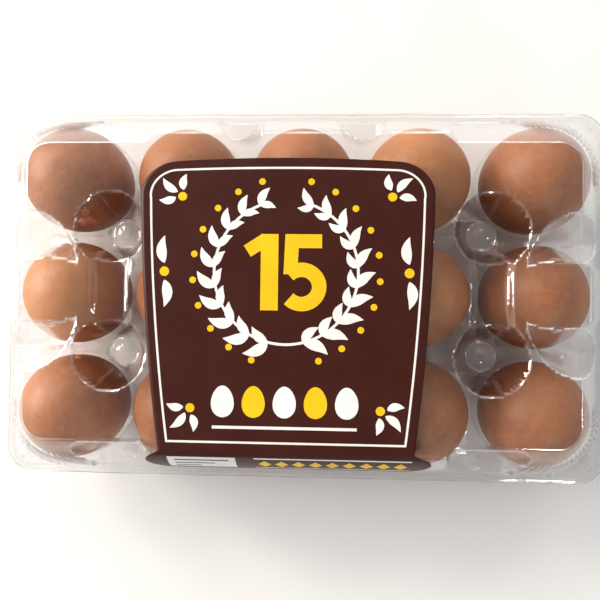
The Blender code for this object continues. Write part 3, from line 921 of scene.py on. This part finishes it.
class Print:
    """Collects flat shapes of one ink, each a small grid of points, for one mesh."""

    def __init__(self):
        self.points = []
        self.faces = []
        self.rises = []
        self.count = 0

    def add(self, grid):
        """Adds a grid of x and y, turned over if its faces look down. Each shape lies a
        hair above the one before, so that two never share a plane."""
        across = grid[0, 1] - grid[0, 0]
        along = grid[1, 0] - grid[0, 0]
        if along[0] * across[1] - along[1] * across[0] < 0.0:
            grid = grid[:, ::-1]
        rows, columns = grid.shape[:2]
        self.faces.append(grid_faces(rows, columns) + self.count)
        self.rises.append(np.full(rows * columns, 0.0006 * len(self.points)))
        self.points.append(grid.reshape(-1, 2))
        self.count += rows * columns

    def stroke(self, path, width):
        """A band along a path: at each point half the width to both sides, mitred."""
        path = np.asarray(path, float)
        width = np.broadcast_to(width, len(path))
        ahead = np.diff(path, axis=0)
        ahead = ahead / np.linalg.norm(ahead, axis=1)[:, None]
        before = np.concatenate((ahead[:1], ahead))
        after = np.concatenate((ahead, ahead[-1:]))
        mean = before + after
        mean = mean / np.linalg.norm(mean, axis=1)[:, None]
        mitre = 1.0 / np.maximum(np.sum(mean * after, axis=1), 0.5)
        side = np.stack((-mean[:, 1], mean[:, 0]), -1) * (width / 2.0 * mitre)[:, None]
        self.add(np.stack((path - side, path, path + side), axis=1))

    def oval(self, centre, half, egg=0.0):
        """An oval as level chords. egg draws the upper half in, as an egg is."""
        s = np.sin(np.linspace(-math.pi / 2.0, math.pi / 2.0, 29))
        chord = half[0] * np.sqrt(np.maximum(1.0 - s * s, 1e-4)) * (1.0 - egg * s)
        x = chord[:, None] * np.linspace(-1.0, 1.0, 3)
        y = np.broadcast_to((half[1] * s)[:, None], x.shape)
        self.add(np.stack((centre[0] + x, centre[1] + y), -1))

    def dot(self, centre, radius):
        self.oval(centre, (radius, radius))

    def leaf(self, foot, tip, half):
        """A leaf from its foot to its tip: a stroke whose half width is a half sine, fuller
        towards the foot, along a slightly bent middle line."""
        t = np.linspace(0.0, 1.0, 17)[:, None]
        foot = np.asarray(foot, float)
        along = np.asarray(tip, float) - foot
        bent = np.array((-along[1], along[0])) * 0.12
        path = foot + along * t + bent * np.sin(math.pi * t)
        self.stroke(path, 0.12 + 2.0 * half * np.sin(math.pi * t[:, 0] ** 0.8))

    def box(self, low, high):
        """A rectangle between two corners, in short rows so that it can follow the fold."""
        rows = max(3, round((high[1] - low[1]) / 0.6))
        x, y = np.meshgrid(np.linspace(low[0], high[0], 3), np.linspace(low[1], high[1], rows),
                           indexing="ij")
        self.add(np.stack((x, y), -1))

    def build(self, name, lift, sheet):
        points = np.concatenate(self.points)
        placed = on_label(points[:, 0], LABEL_BACK_Y - points[:, 1], lift)
        placed[:, 2] += np.concatenate(self.rises)
        piece = make_mesh(name, placed, np.concatenate(self.faces), smooth_shade=False)
        thicken(piece, sheet)
        return piece


def arc(centre, radius, start, end, count=33):
    """Points on an arc of a circle or an ellipse, between two angles in degrees."""
    t = np.radians(np.linspace(start, end, count))
    half = np.broadcast_to(radius, 2)
    return np.stack((centre[0] + half[0] * np.cos(t), centre[1] + half[1] * np.sin(t)), -1)


MIDDLE_X = -4.6
WREATH_Y = 7.5
WREATH_RADIUS = 27.0
EGG_ROW_Y = -41.0
BORDER_INSET = 3.8
FLAP_Y = LABEL_FOLD_Y - 2.4
SIDE_SPRIGS_X = (-50.5, 41.3)
CORNER_SPRIGS = (
    ((-44.0, 36.0), 135.0), ((34.8, 36.0), 45.0), ((-40.0, -43.6), 225.0), ((31.0, -43.6), -45.0))


def draw_numerals(ink):
    """The plain number of eggs, in the middle of the wreath."""
    middle = np.array((MIDDLE_X, WREATH_Y))
    ink.stroke(middle + [(-6.2, 14.3), (-6.2, -14.3)], 6.6)
    ink.stroke(middle + [(-14.6, 7.8), (-7.6, 12.3)], 5.0)
    ink.stroke(middle + [(13.4, 11.7), (2.2, 11.7), (1.7, -0.8)], 5.2)
    ink.stroke(arc(middle + (5.9, -5.4), (6.6, 6.4), 136.0, -136.0), 5.4)


def draw_wreath(white, yellow):
    """Two stems that part at the bottom of a circle and nearly meet at its top, each with
    pairs of leaves that get smaller upwards, and a berry outside every pair."""
    middle = np.array((MIDDLE_X, WREATH_Y))
    for side in (-1.0, 1.0):
        white.stroke(arc(middle, (side * WREATH_RADIUS, WREATH_RADIUS), -96.0, 70.0, 65), 1.0)
        for step in range(10):
            turn = math.radians(-76.0 + step * 16.0)
            out = np.array((side * math.cos(turn), math.sin(turn)))
            ahead = np.array((-side * math.sin(turn), math.cos(turn)))
            foot = middle + out * WREATH_RADIUS
            size = 10.4 - 0.3 * step
            white.leaf(foot, foot + (0.78 * ahead + 0.62 * out) * size, 0.2 * size)
            white.leaf(foot, foot + (0.86 * ahead - 0.5 * out) * size * 0.8, 0.17 * size)
            yellow.dot(foot + 4.2 * ahead + 8.0 * out, 1.25)


def draw_side(white, yellow, x):
    """A bud with a leaf above and a leaf below."""
    yellow.dot((x, WREATH_Y), 1.8)
    for way in (-1.0, 1.0):
        white.leaf((x, WREATH_Y + 3.2 * way), (x, WREATH_Y + 13.5 * way), 1.9)


def draw_corner(white, yellow, place, lean):
    """Three leaves that fan out from a bud."""
    foot = np.array(place)
    yellow.dot(foot, 1.7)
    for turn, size in ((-54.0, 6.4), (0.0, 8.0), (54.0, 6.4)):
        angle = math.radians(lean + turn)
        way = np.array((math.cos(angle), math.sin(angle)))
        white.leaf(foot + 2.6 * way, foot + (2.6 + size) * way, 1.5)


def draw_eggs(white, yellow):
    """A row of small eggs, white and yellow in turn, with a line below."""
    for step in range(5):
        ink = yellow if step % 2 else white
        ink.oval((MIDDLE_X - 23.2 + 11.6 * step, EGG_ROW_Y), (4.3, 5.9), egg=0.13)
    white.stroke([(MIDDLE_X - 27.0, EGG_ROW_Y - 9.6), (MIDDLE_X + 27.0, EGG_ROW_Y - 9.6)], 1.1)


def draw_border(ink):
    """A thin closed line, an even step inside the edge of the label's flat part."""
    turn = np.radians(np.linspace(0.0, 90.0, 13))
    round_run = LABEL_CORNER - (LABEL_CORNER - BORDER_INSET) * np.cos(turn)
    round_in = LABEL_CORNER - (LABEL_CORNER - BORDER_INSET) * np.sin(turn)
    side_run = np.linspace(LABEL_CORNER + 1.0, FLAT_RUN - BORDER_INSET, 40)
    left, right = label_edges(side_run)
    run = np.concatenate((round_run, side_run))
    left = np.concatenate((LEFT_X + round_in, left + BORDER_INSET))
    right = np.concatenate((RIGHT_X - round_in, right - BORDER_INSET))
    back = np.linspace(right[0], left[0], 25)[1:]
    x = np.concatenate((left, right[::-1], back))
    run = np.concatenate((run, run[::-1], np.full(len(back), run[0])))
    ink.stroke(np.stack((x, LABEL_BACK_Y - run), -1), 0.8)


def draw_flap(white, yellow, brown):
    """A white field with ruled lines, then a row of diamonds between two thin lines."""
    white.box((-49.0, FLAP_Y - 10.2), (-23.0, FLAP_Y - 0.2))
    for row in range(3):
        drop = FLAP_Y - 2.5 - row * 2.7
        brown.stroke([(-46.4, drop), (-25.6 - row * 5.5, drop)], 0.8)
    for drop in (FLAP_Y - 0.6, FLAP_Y - 9.8):
        white.stroke([(-16.0, drop), (43.0, drop)], 0.8)
    share = np.linspace(-1.0, 1.0, 9)
    for step in range(9):
        x = -12.0 + step * 6.4 + 2.5 * share
        path = np.stack((x, np.full_like(x, FLAP_Y - 5.2)), -1)
        yellow.stroke(path, 0.1 + 5.6 * (1.0 - np.abs(share)))


# Shader nodes


def arithmetic(operation, reflected=False):
    """A method that joins a wire to another value, which comes first where reflected."""
    def join(self, other):
        pair = (other, self) if reflected else (self, other)
        return self.math(operation, *pair)
    return join


class Wire:
    """A value in a shader: arithmetic on it adds Math nodes."""

    def __init__(self, shader, socket):
        self.shader = shader
        self.socket = socket

    def math(self, operation, first, second):
        return self.shader.node("ShaderNodeMath", {0: first, 1: second}, operation=operation)

    __add__ = arithmetic("ADD")
    __radd__ = arithmetic("ADD", reflected=True)
    __sub__ = arithmetic("SUBTRACT")
    __rsub__ = arithmetic("SUBTRACT", reflected=True)
    __mul__ = arithmetic("MULTIPLY")
    __rmul__ = arithmetic("MULTIPLY", reflected=True)
    __pow__ = arithmetic("POWER")


class Shader:
    """A material or a world under construction."""

    def __init__(self, block, target):
        block.use_nodes = True
        self.block = block
        self.tree = block.node_tree
        self.target = self.tree.nodes[target]

    def node(self, kind, inputs, output=0, **settings):
        """A node of any kind: its settings first, then values or links for its sockets."""
        node = self.tree.nodes.new(kind)
        for name, value in settings.items():
            setattr(node, name, value)
        self.fill(node, inputs)
        return Wire(self, node.outputs[output])

    def fill(self, node, inputs):
        for name, value in inputs.items():
            if isinstance(value, Wire):
                self.tree.links.new(value.socket, node.inputs[name])
            else:
                node.inputs[name].default_value = value

    def kept(self, name, output="Fac"):
        """A value that is kept on the points of the mesh."""
        return self.node("ShaderNodeAttribute", {}, output=output, attribute_name=name)

    def coordinates(self):
        return self.node("ShaderNodeTexCoord", {}, output="Object")

    def noise(self, scale, detail, roughness=0.5):
        """Noise over the object's own coordinates, from 0 to 1."""
        return self.node("ShaderNodeTexNoise", {
            "Vector": self.coordinates(), "Scale": scale, "Detail": detail,
            "Roughness": roughness})

    def step(self, value, low, high):
        """0 below low, 1 above high and smooth between."""
        return self.node("ShaderNodeMapRange", {0: value, 1: low, 2: high, 3: 0.0, 4: 1.0},
                         interpolation_type="SMOOTHSTEP")

    def mix(self, factor, first, second, blend="MIX"):
        """Mixes two colours."""
        return self.node("ShaderNodeMix", {0: factor, 6: first, 7: second}, output=2,
                         data_type="RGBA", blend_type=blend)

    def bump(self, height, distance, strength):
        return self.node("ShaderNodeBump", {
            "Height": height, "Distance": distance, "Strength": strength})

    def finish(self, **inputs):
        self.fill(self.target, {name.replace("_", " "): value for name, value in inputs.items()})
        return self.block


def surface(name):
    return Shader(bpy.data.materials.new(name), "Principled BSDF")


def clear_material(name, plastic):
    """Clear moulded sheet: each face mirrors a small share of the light, more at a slant, and lets the
    rest through. Sharp edges get painted highlights, thin whitened lines, and the walls of the funnels
    and the creases between pleats get a painted reflection of the eggs that stand round them. Low waves
    and a few scuffs break the mirror up."""
    shader = surface(name)
    slant = shader.node("ShaderNodeLayerWeight", {"Blend": 0.5}, output="Facing")
    mirror = plastic.mirror + (0.95 - plastic.mirror) * slant ** 4.3
    # Painted highlight: thin whitened lines along the sharp edges, broken up by noise, less metallic,
    # rougher and more opaque than the sheet.
    uneven = 0.35 + 0.65 * shader.step(shader.noise(55.0, 2.0), 0.40, 0.60)
    line = shader.step(shader.kept("edge"), 0.30, 1.0) * uneven
    scuffs = shader.step(shader.noise(70.0, 5.0, 0.65), 0.52, 0.74)
    waves = shader.noise(34.0, 1.5) + 0.18 * shader.noise(230.0, 2.0)
    # Painted reflection of the eggs on the funnel walls and in the pleat creases, left off the painted
    # highlight lines.
    inside = shader.kept("nest") * (1.0 - line)
    return shader.finish(
        Base_Color=shader.mix(0.8 * inside, (*plastic.tint, 1.0), (*plastic.nest, 1.0)),
        Metallic=0.94 - 0.6 * line,
        Roughness=plastic.roughness + 0.08 * scuffs + 0.2 * line,
        Alpha=mirror + plastic.haze * scuffs + plastic.edge * line + plastic.nested * inside,
        Normal=shader.bump(waves, 0.0016, 0.5))


def shell_material(name, eggs):
    """Brown shell: its own shade, cloudy mottling, paler and darker fine grain, a few dark
    specks, and pores as bump."""
    shader = surface(name)
    shade = shader.kept("shade", output="Color")
    dark = shader.mix(1.0, shade, (0.70, 0.60, 0.56, 1.0), blend="MULTIPLY")
    pale = shader.mix(0.22, shade, (0.80, 0.46, 0.25, 1.0))
    clouds = shader.step(shader.noise(38.0, 3.0, 0.55), 0.36, 0.66)
    grain = shader.step(shader.noise(420.0, 3.0, 0.6), 0.40, 0.68)
    cloudy = shader.mix(0.55 * (1.0 - clouds), shade, dark)
    grained = shader.mix(0.32 * grain, cloudy, pale)
    cells = shader.node("ShaderNodeTexVoronoi", {
        "Vector": shader.coordinates(), "Scale": 130.0, "Randomness": 1.0}, output="Distance")
    rare = shader.step(shader.noise(95.0, 1.0), 0.60, 0.66)
    specks = (1.0 - shader.step(cells, 0.05, 0.10)) * rare
    painted = shader.mix(0.75 * specks, grained, (*eggs.speck, 1.0))
    pores = shader.noise(1500.0, 2.0, 0.6) + 0.5 * shader.noise(520.0, 2.0)
    return shader.finish(
        Base_Color=painted, Roughness=eggs.roughness + 0.1 * grain, Specular_IOR_Level=0.5,
        Normal=shader.bump(pores, 0.00012, 0.35))


def paper_material(name, ink, gloss):
    """Coated paper under one ink: faint mottling of the ink and a soft sheen."""
    shader = surface(name)
    worn = tuple(min(1.0, part * 1.12 + 0.002) for part in ink)
    mottle = shader.step(shader.noise(60.0, 4.0, 0.6), 0.35, 0.7)
    fibres = shader.noise(900.0, 3.0, 0.6)
    return shader.finish(
        Base_Color=shader.mix(mottle, (*ink, 1.0), (*worn, 1.0)),
        Roughness=gloss + 0.08 * fibres, Specular_IOR_Level=0.22,
        Normal=shader.bump(shader.noise(28.0, 1.0) + 0.04 * fibres, 0.0005, 0.3))


def floor_material(name, tone):
    shader = surface(name)
    grain = shader.noise(6.0, 3.0)
    darker = tuple(part * 0.985 for part in tone)
    return shader.finish(Base_Color=shader.mix(grain, (*tone, 1.0), (*darker, 1.0)), Roughness=0.7)


def studio_world(name, stage):
    """Soft light of a room: bright walls at the back left, dim ones at the front right, with
    upright bands low down for clear sheet to mirror, and a darker patch straight above, so
    that flat clear sheet hardly veils what is under it."""
    shader = Shader(bpy.data.worlds.new(name), "Background")
    way = shader.node("ShaderNodeTexCoord", {}, output="Generated")
    x, y, z = (
        shader.node("ShaderNodeSeparateXYZ", {"Vector": way}, output=axis) for axis in "XYZ")
    room = stage.dim + (stage.bright - stage.dim) * shader.step(0.72 * y - 0.7 * x, -1.0, 0.95)
    azimuth = y.math("ARCTAN2", y, x)
    band = shader.step(azimuth.math("SINE", 11.0 * azimuth, 0.0), -0.3, 0.3) - 0.5
    room = room * (1.0 + 0.7 * band * (1.0 - shader.step(z, 0.45, 0.7)))
    strength = room + (stage.above - room) * shader.step(z, 0.78, 0.96)
    return shader.finish(Color=(1.0, 0.985, 0.965, 1.0), Strength=strength)


def wear(piece, material, body):
    """Gives a piece its material and its body."""
    piece.data.materials.append(material)
    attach(piece, body)


# Stage: each light's name, place, width and height, share of the key power and tone

FLOOR_REACH = 1500.0
FLOOR_DROP = 0.25
AIM_Z = 40.0
CAMERA_PLACE = (12.0, -7.6, 302.1)
CAMERA_TURN = (1.2017, 2.705, 0.7039)
LIGHTS = (
    ("pane_front", (-1480.0, 180.0, 640.0), (330.0, 620.0), 0.44, (1.0, 0.95, 0.87)),
    ("pane_back", (-1480.0, 640.0, 640.0), (330.0, 620.0), 0.52, (1.0, 0.95, 0.87)),
    ("left", (-720.0, 760.0, 720.0), (260.0, 320.0), 0.2, (1.0, 0.92, 0.80)),
    ("back", (420.0, 1200.0, 1000.0), (120.0, 120.0), 0.05, (1.0, 0.98, 0.96)),
    ("front", (620.0, -1300.0, 900.0), (160.0, 160.0), 0.14, (0.98, 0.99, 1.0)),
    ("right", (1350.0, -260.0, 760.0), (90.0, 160.0), 0.045, (1.0, 0.97, 0.92)),
)


def make_floor(stage):
    x, y = np.meshgrid((-FLOOR_REACH, FLOOR_REACH), (-FLOOR_REACH, FLOOR_REACH), indexing="ij")
    points = np.stack((x, y, np.full_like(x, -FLOOR_DROP)), -1).reshape(-1, 3)
    floor = make_mesh("floor", points, grid_faces(2, 2))
    floor.data.materials.append(floor_material("floor", stage.floor))
    return floor


def make_light(name, place, size, power, tone):
    """A light of a width and a height that looks at the middle of the carton."""
    lamp = bpy.data.lights.new(name, "AREA")
    lamp.shape = "RECTANGLE"
    lamp.size, lamp.size_y = (side * MM for side in size)
    lamp.energy = power
    lamp.color = tone
    obj = bpy.data.objects.new(name, lamp)
    place = Vector(place) * MM
    away = place - Vector((0.0, 0.0, AIM_Z)) * MM
    turn = away.to_track_quat("Z", "Y").to_matrix().to_4x4()
    obj.matrix_world = Matrix.Translation(place) @ turn
    bpy.context.scene.collection.objects.link(obj)


def make_camera(stage):
    lens = bpy.data.cameras.new("camera")
    lens.lens = stage.lens
    lens.sensor_width = 36.0
    lens.clip_start = 0.01
    camera = bpy.data.objects.new("camera", lens)
    turn = Euler([math.radians(part) for part in CAMERA_TURN]).to_matrix().to_4x4()
    camera.matrix_world = Matrix.Translation(Vector(CAMERA_PLACE) * MM) @ turn
    bpy.context.scene.collection.objects.link(camera)
    return camera


# Operators


class CARTON_OT_tray(bpy.types.Operator):
    """Make the tray's clear sheet with its cups, webs, pillars and flange"""
    bl_idname = "carton.tray"
    bl_label = "Tray Sheet"

    def execute(self, context):
        scene = context.scene
        piece = make_tray(scene.carton_tray)
        wear(piece, clear_material("tray_plastic", scene.carton_plastic), "tray")
        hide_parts("tray")
        return {"FINISHED"}


class CARTON_OT_eggs(bpy.types.Operator):
    """Make the fifteen eggs"""
    bl_idname = "carton.eggs"
    bl_label = "Eggs"

    def execute(self, context):
        settings = context.scene.carton_eggs
        shell = shell_material("egg_shell", settings)
        nodes = sorted(node for node in frame["nodes"] if node.startswith("egg_"))
        shades = {node: shade for shade, eggs in EGG_SHADES.items() for node in eggs}
        for number, node in enumerate(nodes):
            egg = make_egg(node, number)
            tint_egg(egg, getattr(settings, shades.get(node, "brown")))
            wear(egg, shell, "tray")
            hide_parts(node)
        return {"FINISHED"}


class CARTON_OT_lid(bpy.types.Operator):
    """Make the lid's clear sheet with everything that is pressed into it"""
    bl_idname = "carton.lid"
    bl_label = "Lid Sheet"

    def execute(self, context):
        scene = context.scene
        piece = make_lid(scene.carton_lid)
        wear(piece, clear_material("lid_plastic", scene.carton_plastic), "lid")
        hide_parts("lid")
        return {"FINISHED"}


class CARTON_OT_hinge(bpy.types.Operator):
    """Make the fold that joins the tray to the lid along the back edge"""
    bl_idname = "carton.hinge"
    bl_label = "Hinge Strip"

    def execute(self, context):
        scene = context.scene
        piece = make_hinge_strip(scene.carton_lid.sheet / MM * 0.8)
        piece.data.materials.append(clear_material("hinge_plastic", scene.carton_plastic))
        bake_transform(piece)
        return {"FINISHED"}


class CARTON_OT_label(bpy.types.Operator):
    """Make the label's paper and its printed shapes"""
    bl_idname = "carton.label"
    bl_label = "Label"

    def execute(self, context):
        label = context.scene.carton_label
        sheet = make_label(label)
        wear(sheet, paper_material("label_brown", label.brown, 0.34), "lid")
        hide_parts("label")
        white, yellow, brown = Print(), Print(), Print()
        draw_border(white)
        draw_numerals(yellow)
        draw_wreath(white, yellow)
        for x in SIDE_SPRIGS_X:
            draw_side(white, yellow, x)
        for place, lean in CORNER_SPRIGS:
            draw_corner(white, yellow, place, lean)
        draw_eggs(white, yellow)
        draw_flap(white, yellow, brown)
        lift = (label.lift + label.sheet) / MM
        ink = label.ink_lift / MM
        for name, drawn, tone, layers in (
                ("print_white", white, label.white, 1), ("print_yellow", yellow, label.yellow, 1),
                ("print_brown", brown, label.brown, 2)):
            piece = drawn.build(name, lift + ink * layers, ink * 0.8)
            wear(piece, paper_material(name, tone, 0.36), "lid")
        return {"FINISHED"}


class CARTON_OT_stage(bpy.types.Operator):
    """Make the floor, the lights and the camera"""
    bl_idname = "carton.stage"
    bl_label = "Stage"

    def execute(self, context):
        scene = context.scene
        stage = scene.carton_stage
        floor = make_floor(stage)
        scene.world = studio_world("room", stage)
        for name, place, size, part, tone in LIGHTS:
            make_light(name, place, size, stage.key * part, tone)
        scene.camera = make_camera(stage)
        scene.view_settings.view_transform = "Standard"
        scene.cycles.transparent_max_bounces = 48
        return {"FINISHED"}


class CARTON_PT_panel(bpy.types.Panel):
    """Lists the carton's steps and settings"""
    bl_idname = "CARTON_PT_panel"
    bl_label = "Egg Carton"
    bl_space_type = "VIEW_3D"
    bl_region_type = "UI"
    bl_category = "Egg Carton"

    def draw(self, context):
        for group, operator in PANEL_ROWS:
            box = self.layout.box()
            settings = getattr(context.scene, group)
            for name in settings.__annotations__:
                box.prop(settings, name)
            box.operator(operator)


GROUPS = {
    "carton_lid": CartonLidSettings,
    "carton_tray": CartonTraySettings,
    "carton_plastic": CartonPlasticSettings,
    "carton_eggs": CartonEggSettings,
    "carton_label": CartonLabelSettings,
    "carton_stage": CartonStageSettings,
}
PANEL_ROWS = (
    ("carton_tray", "carton.tray"),
    ("carton_eggs", "carton.eggs"),
    ("carton_lid", "carton.lid"),
    ("carton_plastic", "carton.hinge"),
    ("carton_label", "carton.label"),
    ("carton_stage", "carton.stage"),
)
OPERATORS = (
    CARTON_OT_tray, CARTON_OT_eggs, CARTON_OT_lid, CARTON_OT_hinge, CARTON_OT_label,
    CARTON_OT_stage)
CLASSES =(*GROUPS.values(), *OPERATORS, CARTON_PT_panel)


def register():
    for kind in CLASSES:
        bpy.utils.register_class(kind)
    for name, group in GROUPS.items():
        setattr(bpy.types.Scene, name, PointerProperty(type=group))


def unregister():
    for name in GROUPS:
        delattr(bpy.types.Scene, name)
    for kind in reversed(CLASSES):
        bpy.utils.unregister_class(kind)


def main():
    register()
    bpy.ops.carton.tray()
    bpy.ops.carton.eggs()
    bpy.ops.carton.lid()
    bpy.ops.carton.hinge()
    bpy.ops.carton.label()
    bpy.ops.carton.stage()


if __name__ == "__main__":
    main()
